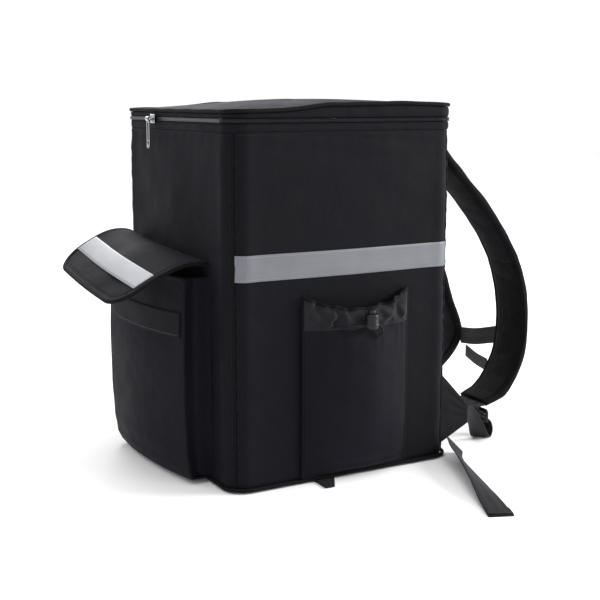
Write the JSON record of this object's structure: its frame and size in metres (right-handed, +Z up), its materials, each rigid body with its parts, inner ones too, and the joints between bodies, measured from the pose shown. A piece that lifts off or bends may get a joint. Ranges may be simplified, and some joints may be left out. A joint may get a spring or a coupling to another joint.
{
  "type": "cooler bag",
  "caption": "Insulated delivery backpack: a padded box with a zipped lid, front flap pocket, bottle pockets and a shoulder harness",
  "frame": {"origin": "On the ground under the middle of the box, in the plane the bag stands on.", "axes": "+X is the wearer's right side, +Y is the back with the shoulder harness, +Z is up; the flap pocket faces -Y."},
  "size_m": [0.7438, 0.6239, 0.4582],
  "materials": {
    "cloth": "matt",
    "edging": "matt",
    "webbing": "matt",
    "reflective": "satin",
    "zip_metal": "polished",
    "moulded": "matt"
  },
  "bodies": {
    "bag": {"body_shell": "cloth", "base_piping": "edging", "zip_tape": "cloth", "zip_chain": "zip_metal", "lid_band": "cloth", "lid_piping": "edging", "lid_panel": "cloth", "zip_slider": "zip_metal", "front_pocket": "cloth", "pocket_closure_tape": "edging", "front_flap": "cloth", "flap_binding": "edging", "flap_reflector": "reflective", "side_reflector_right": "reflective", "side_reflector_left": "reflective", "bottle_pocket_right": "cloth", "bottle_pocket_left": "cloth", "cord_lock_body_right": "moulded", "cord_lock_body_left": "moulded", "pocket_drawcord_right": "edging", "pocket_drawcord_left": "edging", "base_tab": "webbing", "shoulder_strap_right": "cloth", "shoulder_strap_left": "cloth", "chest_strap": "webbing", "chest_strap_tail": "webbing", "pad_end_tab_right": "webbing", "pad_end_tab_left": "webbing", "ladder_lock_right": "moulded", "ladder_lock_left": "moulded", "lower_webbing_right": "webbing", "lower_webbing_left": "webbing", "anchor_wing_right": "cloth", "anchor_wing_left": "cloth", "tail_webbing_right": "webbing", "tail_webbing_left": "webbing"},
    "zip_pull": {"zip_pull": "zip_metal"},
    "cord_lock_button_right": {"cord_lock_button_right": "moulded"},
    "cord_lock_button_left": {"cord_lock_button_left": "moulded"}
  },
  "joints": [
    {"name": "zip_pull_swing", "type": "hinge", "parent": "bag", "child": "zip_pull", "pos_m": [-0.056, -0.1656, 0.4358], "axis": [-1, 0, 0], "range_deg": [0, 165]},
    {"name": "cord_lock_press_right", "type": "slide", "parent": "bag", "child": "cord_lock_button_right", "axis": [0, 0, -1], "range_m": [0, 0.003], "stiffness_N_per_m": 300, "springref_m": -0.003},
    {"name": "cord_lock_press_left", "type": "slide", "parent": "bag", "child": "cord_lock_button_left", "axis": [0, 0, -1], "range_m": [0, 0.003], "stiffness_N_per_m": 300, "springref_m": -0.003}
  ]
}
